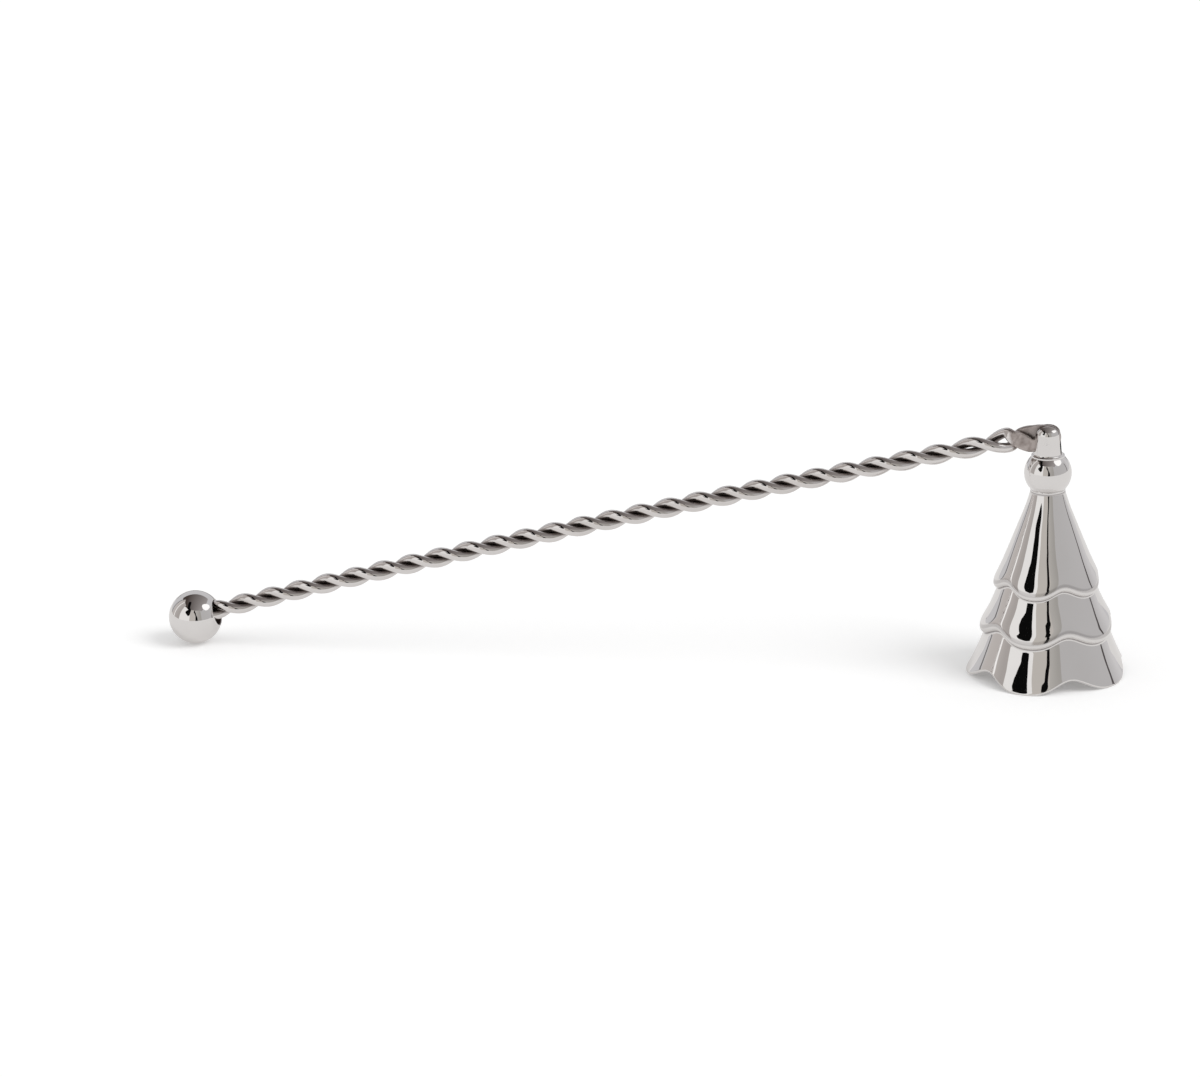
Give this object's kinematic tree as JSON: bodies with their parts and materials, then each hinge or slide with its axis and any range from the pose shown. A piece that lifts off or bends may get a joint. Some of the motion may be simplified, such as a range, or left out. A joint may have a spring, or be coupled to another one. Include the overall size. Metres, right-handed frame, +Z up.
{
  "type": "candle snuffer",
  "caption": "Table candle snuffer: a scalloped tiered bell that swings on a cross pin at the end of a twisted wire handle with a ball at its end.",
  "frame": {"origin": "middle of the whole object's box, on the plane that the bell's feet and the end ball rest on", "axes": "+X runs level along the handle from the end ball to the bell, +Z is up, +Y is the back of the hinge's cross pin"},
  "size_m": [0.2328, 0.0378, 0.0606],
  "materials": {
    "polished_nickel": "mirror polished nickel plate",
    "twisted_wire": "polished wire, ground and unpolished on its flattened end",
    "plain_steel": "plain steel",
    "solder": "dull solder"
  },
  "bodies": {
    "bell_side": {"bell": "polished_nickel", "neck_ball": "polished_nickel", "hinge_knuckle": "polished_nickel", "hinge_pin": "polished_nickel", "crown_washer": "plain_steel", "crown_nut": "plain_steel"},
    "handle": {"front_strand": "twisted_wire", "back_strand": "twisted_wire", "end_ball": "polished_nickel", "ball_solder": "solder"}
  },
  "joints": [
    {"name": "handle_hinge", "type": "hinge", "parent": "bell_side", "child": "handle", "pos_m": [0.09812, 0.00022, 0.0576], "axis": [0, 1, 0], "range_deg": [-4, 150]}
  ]
}
